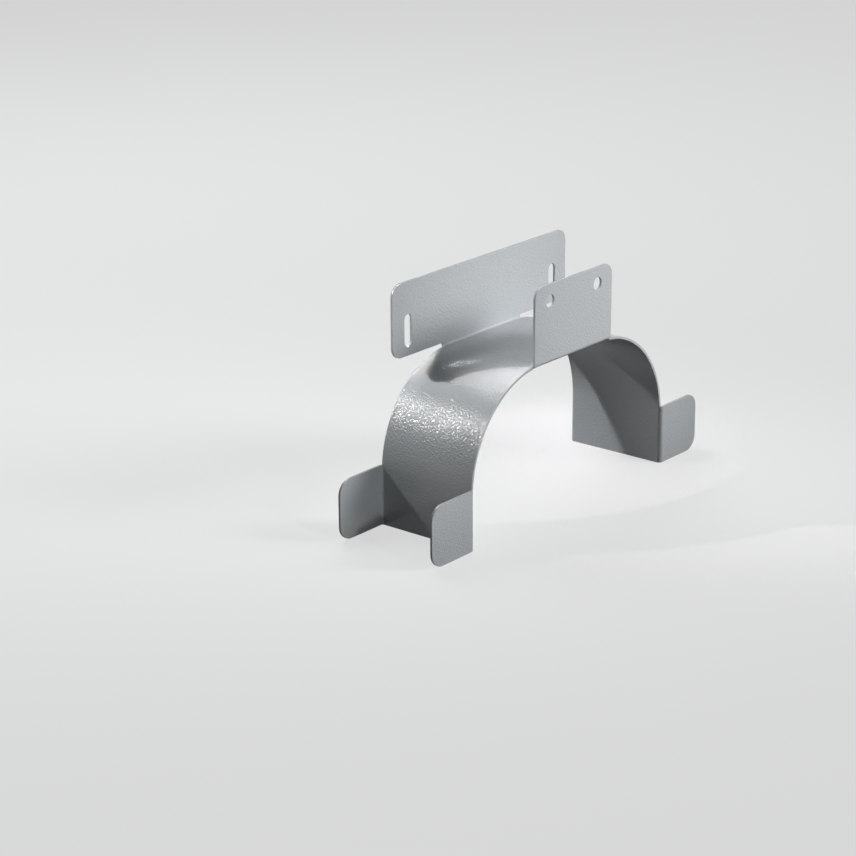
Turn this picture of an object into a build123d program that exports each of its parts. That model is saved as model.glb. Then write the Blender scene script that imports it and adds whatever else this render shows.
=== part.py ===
from build123d import *
import os

# A cable slack holder, folded from one piece of sheet steel.
# Cables lie over the saddle, between the back plate and the front plate, and hang down
# outside the legs, where the tabs keep them from sliding off.
# Millimetres, +Z up, +X along the back plate, -Y out from the wall.
# The origin is on the rear face of the back plate, midway between its two slots.

# Sheet and folds
sheet = 1.5                # thickness of the steel
fold_radius = 1.5          # inside radius of every fold

# Saddle
holder_depth = 75.0        # rear face of the back plate to front face of the front plate
edge_setback = 1.5         # free edges of the saddle behind those two faces
saddle_width = 204.0       # over the outsides of the legs
saddle_height = 103.5      # from the crown to the ends of the legs
shoulder_radius = 68.0     # outside radius between the crown and each leg

# Plates that stand up from the crown
plate_rise = 50.5          # top edges of both plates above the crown
plate_corner = 8.0
back_plate_width = 180.0
back_fold_length = 81.0    # the part of the back plate that is folded from the crown
wing_gap = 2.0             # lower edges of the back plate's wings above the crown
front_plate_width = 81.0   # folded from the crown over its whole width

# Slots in the back plate
slot_spacing = 150.0
slot_length = 21.5
slot_width = 7.0
slot_rise = 18.5           # slot centres above the crown

# Holes in the front plate
hole_spacing = 50.0
hole_diameter = 8.5
hole_drop = 11.0           # hole centres below the top edge

# Tabs that turn outward from the legs
tab_width = 40.0           # beyond the outside of the leg
tab_height = 40.0
tab_corner = 10.0

# Levels and distances that follow from the sizes above
crown = -slot_rise
plate_top = crown + plate_rise
shoulder_end = crown - shoulder_radius
leg_end = crown - saddle_height
fold_reach = sheet + fold_radius
from_bottom = (Align.CENTER, Align.MIN)
hair = 0.001               # two edges this close are the same edge


# Outlines, drawn as seen from the front

def under_saddle(inset):
    # everything below the crown and between the legs, less an inset from their outside
    width, height = saddle_width - 2 * inset, saddle_height - inset
    block = Pos(0, leg_end) * Rectangle(width, height, align=from_bottom)
    shoulders = block.vertices().group_by(Axis.Y)[-1]
    return fillet(shoulders, shoulder_radius - inset)


def strip():
    # the saddle's section
    return under_saddle(0) - under_saddle(sheet)


def crown_zone(width):
    # the part of the view that holds a fold of this length at the crown
    height = shoulder_radius + wing_gap + plate_corner
    return Pos(0, shoulder_end) * Rectangle(width, height, align=from_bottom)


def leg_zone():
    # the part of the view that holds the folds of the tabs
    return Pos(0, leg_end) * Rectangle(saddle_width, tab_height, align=from_bottom)


def folded_strip(fold_length):
    # the parts of the saddle's section that run on into a plate and two tabs
    return strip() & (crown_zone(fold_length) + leg_zone())


def tabs():
    # a pair of tabs, drawn across the gap between the legs
    block = Pos(0, leg_end) * Rectangle(saddle_width + 2 * tab_width, tab_height, align=from_bottom)
    return fillet(block.vertices(), tab_corner)


def plate(width, bottom):
    # an upright plate between a level and the top edge
    return Pos(0, bottom) * Rectangle(width, plate_top - bottom, align=from_bottom)


def back_outline():
    wings = plate(back_plate_width, crown + wing_gap)
    shape = fillet(wings.vertices(), plate_corner) + crown_zone(back_fold_length) + tabs()
    slot = Rot(0, 0, 90) * SlotOverall(slot_length, slot_width)
    for side in (-1, 1):
        shape -= Pos(side * slot_spacing / 2, crown + slot_rise) * slot
    return shape - under_saddle(sheet)


def front_outline():
    panel = plate(front_plate_width, shoulder_end)
    shape = fillet(panel.vertices().group_by(Axis.Y)[-1], plate_corner) + tabs()
    for side in (-1, 1):
        shape -= Pos(side * hole_spacing / 2, plate_top - hole_drop) * Circle(hole_diameter / 2)
    return shape - under_saddle(sheet)


# Solids

def slab(outline, start, end):
    # an outline as a solid between two distances out from the wall
    return extrude(Plane.XZ.offset(start) * outline, end - start)


def fold_edges(body, fold_length, distance, inset):
    # the edges at one distance from the wall where the saddle's section meets its folds
    plane = Plane.XZ.offset(distance)
    section = (plane * under_saddle(inset)).wire()
    folded = plane * folded_strip(fold_length)
    level = body.edges().filter_by_position(Axis.Y, -distance - hair, -distance + hair)
    return [edge for edge in level
            if section.distance_to(edge @ 0.5) < hair and folded.distance_to(edge @ 0.5) < hair]


def flanges(fold_length, outline, face, inward):
    # a plate and a pair of tabs, with the folds that join them to the saddle
    inner_face = face + inward * sheet
    body = slab(folded_strip(fold_length), face, face + inward * 2 * fold_reach)
    body += slab(outline, face, inner_face)
    # a fold is round inside, where the sheets meet, and by one thickness more outside
    body = fillet(fold_edges(body, fold_length, inner_face, 0), fold_radius)
    return fillet(fold_edges(body, fold_length, face, sheet), fold_reach)


def half_holder(fold_length, outline, face, inward):
    # the saddle from its middle to one face, where it turns into flanges or ends free
    middle = holder_depth / 2
    free = strip() - folded_strip(fold_length)
    half = slab(strip(), face + inward * 2 * fold_reach, middle)
    half += slab(free, face + inward * edge_setback, middle)
    return half + flanges(fold_length, outline, face, inward)


def holder():
    back = half_holder(back_fold_length, back_outline(), 0, 1)
    return back + half_holder(front_plate_width, front_outline(), holder_depth, -1)


os.makedirs("parts", exist_ok=True)
export_step(holder(), "parts/holder.step")
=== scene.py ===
import bpy
import math
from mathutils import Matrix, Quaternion, Vector


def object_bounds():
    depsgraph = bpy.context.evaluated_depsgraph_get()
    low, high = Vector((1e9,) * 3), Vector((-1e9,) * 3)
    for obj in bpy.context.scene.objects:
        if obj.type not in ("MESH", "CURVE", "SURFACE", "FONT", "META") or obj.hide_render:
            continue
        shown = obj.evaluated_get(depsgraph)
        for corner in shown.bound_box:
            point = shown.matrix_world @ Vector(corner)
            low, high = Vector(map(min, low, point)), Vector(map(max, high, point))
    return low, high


# Cable slack holder: one folded sheet with a grained powder coat, on a pale studio floor.
# Metres and degrees, in the frame of the CAD part.

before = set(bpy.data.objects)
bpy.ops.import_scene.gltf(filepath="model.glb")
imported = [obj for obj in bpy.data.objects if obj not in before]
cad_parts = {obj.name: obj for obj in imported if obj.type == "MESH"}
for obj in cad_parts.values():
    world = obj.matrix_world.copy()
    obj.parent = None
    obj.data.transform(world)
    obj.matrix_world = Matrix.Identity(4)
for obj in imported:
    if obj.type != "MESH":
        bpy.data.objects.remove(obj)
cadLow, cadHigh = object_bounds()
print("frame loaded")

mm = 0.001


def linear(hexColour):
    # sRGB hex to the linear colour that the shaders take
    parts = [int(hexColour[i:i + 2], 16) / 255 for i in (1, 3, 5)]
    return [p / 12.92 if p <= 0.04045 else ((p + 0.055) / 1.055) ** 2.4 for p in parts] + [1.0]


def addNode(tree, kind, values=None, links=None, **settings):
    # one node with its settings, its sockets' values and its incoming links
    node = tree.nodes.new(kind)
    for name, value in settings.items():
        setattr(node, name, value)
    for socket, value in (values or {}).items():
        node.inputs[socket].default_value = value
    for socket, source in (links or {}).items():
        tree.links.new(source, node.inputs[socket])
    return node


def emptyTree(owner):
    owner.use_nodes = True
    owner.node_tree.nodes.clear()
    return owner.node_tree


# What the eye gets from the coat: a light neutral grey, satin rather than glossy, with soft
# broad highlights that break into small sparkling grains where they fade out.
powderCoat = {
    "colour": "#B6BABD",
    "colourThin": "#AFB3B6",     # where the coat is a little thinner
    "patchSize": 60 * mm,        # slow drift of the coat's thickness
    "ior": 1.5,                  # polyester resin
    "roughnessLow": 0.17,
    "roughnessHigh": 0.23,
    "grainSize": 1.25 * mm,      # one bump of the fine-textured powder
    "grainDepth": 0.21 * mm,
    "grainPush": 1.0 * mm,       # how far the bumps are pushed out of even rows
    "pushRate": 0.6,             # how much of that push changes from one bump to the next
    "grainMelt": 0.6,            # how far neighbouring bumps run together, from 0 to 1
    "rippleSize": 9 * mm,        # flow of the melted powder under the bumps
    "rippleDepth": 0.04 * mm,
}


def powderCoatedSteel(coat):
    # powder sprayed on steel and melted in an oven, which leaves a closed, finely grained skin
    material = bpy.data.materials.new("powderCoatedSteel")
    tree = emptyTree(material)
    place = addNode(tree, "ShaderNodeTexCoord").outputs["Object"]

    patches = addNode(tree, "ShaderNodeTexNoise",
                      {"Scale": 1 / coat["patchSize"], "Detail": 3.0}, {"Vector": place})
    colour = addNode(tree, "ShaderNodeMix",      # its sockets 6 and 7 are the colours it mixes
                     {6: linear(coat["colour"]), 7: linear(coat["colourThin"])},
                     {"Factor": patches.outputs["Fac"]}, data_type="RGBA")

    push = addNode(tree, "ShaderNodeTexNoise",
                   {"Scale": coat["pushRate"] / coat["grainSize"], "Detail": 1.0},
                   {"Vector": place})
    pushed = addNode(tree, "ShaderNodeVectorMath", {1: [coat["grainPush"]] * 3},
                     {0: push.outputs["Color"], 2: place}, operation="MULTIPLY_ADD")
    bumps = addNode(tree, "ShaderNodeTexVoronoi",
                    {"Scale": 1 / coat["grainSize"], "Smoothness": coat["grainMelt"]},
                    {"Vector": pushed.outputs[0]}, feature="SMOOTH_F1")
    fine = addNode(tree, "ShaderNodeTexNoise",
                   {"Scale": 1 / coat["grainSize"], "Detail": 2.0}, {"Vector": place})
    ripple = addNode(tree, "ShaderNodeTexNoise",
                     {"Scale": 1 / coat["rippleSize"], "Detail": 1.0}, {"Vector": place})

    rough = addNode(tree, "ShaderNodeMapRange",
                    {"To Min": coat["roughnessLow"], "To Max": coat["roughnessHigh"]},
                    {"Value": fine.outputs["Fac"]})
    flow = addNode(tree, "ShaderNodeBump", {"Distance": coat["rippleDepth"]},
                   {"Height": ripple.outputs["Fac"]})
    dimples = addNode(tree, "ShaderNodeBump", {"Distance": coat["grainDepth"]},
                      {"Height": fine.outputs["Fac"], "Normal": flow.outputs["Normal"]})
    grain = addNode(tree, "ShaderNodeBump", {"Distance": coat["grainDepth"]},
                    {"Height": bumps.outputs["Distance"], "Normal": dimples.outputs["Normal"]},
                    invert=True)

    skin = addNode(tree, "ShaderNodeBsdfPrincipled", {"IOR": coat["ior"]},
                   {"Base Color": colour.outputs[2], "Roughness": rough.outputs["Result"],
                    "Normal": grain.outputs["Normal"]})
    addNode(tree, "ShaderNodeOutputMaterial", links={"Surface": skin.outputs[0]})
    return material


holderEdges = {
    "weld": 0.002 * mm,          # points of the CAD mesh this close are one point
    "round": 0.22 * mm,          # what punching and the coat leave on every edge
    "segments": 2,
    "sharpest": 50,              # folds turn in smaller steps and are left alone
    "flatness": 100,             # how far the large faces set the shading at their edges
}


def smoothFaces():
    # shades every face smooth, so that the weighted normals can take over
    group = bpy.data.node_groups.new("smoothFaces", "GeometryNodeTree")
    group.interface.new_socket("Geometry", in_out="INPUT", socket_type="NodeSocketGeometry")
    group.interface.new_socket("Geometry", in_out="OUTPUT", socket_type="NodeSocketGeometry")
    start = addNode(group, "NodeGroupInput")
    smooth = addNode(group, "GeometryNodeSetShadeSmooth", links={"Geometry": start.outputs[0]})
    addNode(group, "NodeGroupOutput", links={0: smooth.outputs[0]})
    return group


def softenEdges(piece, edges):
    weld = piece.modifiers.new("weld", "WELD")
    weld.merge_threshold = edges["weld"]
    shade = piece.modifiers.new("shadeSmooth", "NODES")
    shade.node_group = smoothFaces()
    bevel = piece.modifiers.new("roundedEdges", "BEVEL")
    bevel.width = edges["round"]
    bevel.segments = edges["segments"]
    bevel.limit_method = "ANGLE"
    bevel.angle_limit = math.radians(edges["sharpest"])
    bevel.miter_outer = "MITER_ARC"
    normals = piece.modifiers.new("flatFacesStayFlat", "WEIGHTED_NORMAL")
    normals.weight = edges["flatness"]


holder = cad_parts["holder"]
for materialSlot in holder.material_slots:
    materialSlot.material = powderCoatedSteel(powderCoat)
softenEdges(holder, holderEdges)
print("holder dressed")


studio = {
    "floorLevel": cadLow.z,      # the legs stand on it
    "floorSize": 30.0,           # reaches past the edge of every view
    "floorSeen": "#7D7E7F",
    "glowColour": "#FFFFFF",
    "floorGlow": 0.63,           # keeps the floor pale in the picture; the object isn't lit by it
    "floorBounce": "#373839",    # what the floor throws back on the object
    "skySeen": "#D2D3D4",        # as pale as the far floor, so no horizon shows
    "skyLight": "#FFFFFF",
    "skyStrength": 0.03,         # a little plain light from all round
}


def seenDirectly(tree):
    # 1 for what the camera sees, straight or in a reflection or through something clear
    path = addNode(tree, "ShaderNodeLightPath")
    either = addNode(tree, "ShaderNodeMath", operation="MAXIMUM",
                     links={0: path.outputs["Is Camera Ray"], 1: path.outputs["Is Glossy Ray"]})
    return addNode(tree, "ShaderNodeMath", operation="MAXIMUM",
                   links={0: either.outputs[0], 1: path.outputs["Is Transmission Ray"]}).outputs[0]


def paintedFloor(room):
    # matt emulsion on a board, even and without gloss
    material = bpy.data.materials.new("mattEmulsion")
    tree = emptyTree(material)
    bounce = addNode(tree, "ShaderNodeBsdfDiffuse", {"Color": linear(room["floorBounce"])})
    paint = addNode(tree, "ShaderNodeBsdfDiffuse", {"Color": linear(room["floorSeen"])})
    glow = addNode(tree, "ShaderNodeEmission",
                   {"Color": linear(room["glowColour"]), "Strength": room["floorGlow"]})
    seen = addNode(tree, "ShaderNodeAddShader", links={0: paint.outputs[0], 1: glow.outputs[0]})
    mixed = addNode(tree, "ShaderNodeMixShader",
                    links={0: seenDirectly(tree), 1: bounce.outputs[0], 2: seen.outputs[0]})
    addNode(tree, "ShaderNodeOutputMaterial", links={"Surface": mixed.outputs[0]})
    return material


def buildStudio(room):
    half = room["floorSize"] / 2
    mesh = bpy.data.meshes.new("floor")
    corners = [(-half, -half), (half, -half), (half, half), (-half, half)]
    mesh.from_pydata([(x, y, room["floorLevel"]) for x, y in corners], [], [(0, 1, 2, 3)])
    floor = bpy.data.objects.new("floor", mesh)
    floor.data.materials.append(paintedFloor(room))
    bpy.context.scene.collection.objects.link(floor)

    world = bpy.data.worlds.new("paleRoom")
    bpy.context.scene.world = world
    tree = emptyTree(world)
    light = addNode(tree, "ShaderNodeBackground",
                    {"Color": linear(room["skyLight"]), "Strength": room["skyStrength"]})
    seen = addNode(tree, "ShaderNodeBackground", {"Color": linear(room["skySeen"])})
    mixed = addNode(tree, "ShaderNodeMixShader",
                    links={0: seenDirectly(tree), 1: light.outputs[0], 2: seen.outputs[0]})
    addNode(tree, "ShaderNodeOutputWorld", links={"Surface": mixed.outputs[0]})


buildStudio(studio)
print("studio built")


# Each lamp is a disk: the point it is aimed at, the way to it from there, its distance and
# size, its beam, and its level. At level 1 a white card at the aim looks white if the whole
# disk shines on it; a narrow beam brings only a part of a large disk to each point.
lamps = {
    # the sparkle on the left shoulder, and through the left slot the streak on the crown
    "keyBehindLeft": {"aim": (-0.050, -0.026, -0.016), "towards": (-0.52, 0.66, 0.53),
                      "distance": 1.1, "size": 0.06, "beam": 12, "level": 1.15},
    # the pale zone on the crown's front and the shoulders
    "highBehind": {"aim": (0.0, -0.040, -0.040), "towards": (0.24, 0.60, 0.75),
                   "distance": 1.5, "size": 1.1, "beam": 180, "level": 0.62},
    # the inside of the right leg, through the rear of the arch
    "highLeft": {"aim": (0.110, 0.006, -0.122), "towards": (-0.38, 0.36, 0.85),
                 "distance": 1.2, "size": 0.12, "beam": 6.5, "level": 2.8},
    # the rear left tab, over the top of the front one
    "tabFill": {"aim": (-0.130, 0.0, -0.098), "towards": (-0.15, -0.90, 0.42),
                "distance": 1.0, "size": 0.1, "beam": 8, "level": 0.52},
    # the fronts of both plates and of the front tabs
    "frontRight": {"aim": (0.052, -0.072, 0.048), "towards": (0.46, -0.76, 0.455),
                   "distance": 0.7, "size": 0.4, "beam": 37, "level": 3.4},
}


def beamShare(beam):
    # the share of its power that a lamp needs once its beam is narrowed, for the same level
    half = math.radians(beam) / 2
    return 1 - half / math.tan(half)


def addLamp(name, setup):
    towards = Vector(setup["towards"]).normalized()
    light = bpy.data.lights.new(name, "AREA")
    light.shape = "DISK"
    light.size = setup["size"]
    light.spread = math.radians(setup["beam"])
    # the lamp's disk and the white card each spread their light over pi
    light.energy = setup["level"] * (math.pi * setup["distance"]) ** 2 * beamShare(setup["beam"])
    lamp = bpy.data.objects.new(name, light)
    lamp.location = Vector(setup["aim"]) + towards * setup["distance"]
    lamp.rotation_mode = "QUATERNION"
    lamp.rotation_quaternion = (-towards).to_track_quat("-Z", "Y")
    lamp.visible_camera = False
    bpy.context.scene.collection.objects.link(lamp)


for lampName, lampSetup in lamps.items():
    addLamp(lampName, lampSetup)
print("lamps set")


cameraView = {
    "position": (-1.2377, -0.9768, 0.4643),
    "heading": 39.536,           # from +X towards +Y
    "pitch": -19.221,
    "roll": -0.401,
    "lens": 106.5,               # in millimetres, as the sensor is
    "sensor": 36,
}


def addCamera(view):
    heading, pitch = math.radians(view["heading"]), math.radians(view["pitch"])
    ahead = Vector((math.cos(heading), math.sin(heading), 0))
    forward = ahead * math.cos(pitch) + Vector((0, 0, math.sin(pitch)))
    roll = Quaternion((0, 0, 1), math.radians(view["roll"]))
    camera = bpy.data.objects.new("camera", bpy.data.cameras.new("camera"))
    camera.location = view["position"]
    camera.rotation_mode = "QUATERNION"
    camera.rotation_quaternion = forward.to_track_quat("-Z", "Y") @ roll
    camera.data.lens = view["lens"]
    camera.data.sensor_width = view["sensor"]
    bpy.context.scene.collection.objects.link(camera)
    bpy.context.scene.camera = camera


addCamera(cameraView)
bpy.context.scene.view_settings.view_transform = "Standard"
print("camera placed")
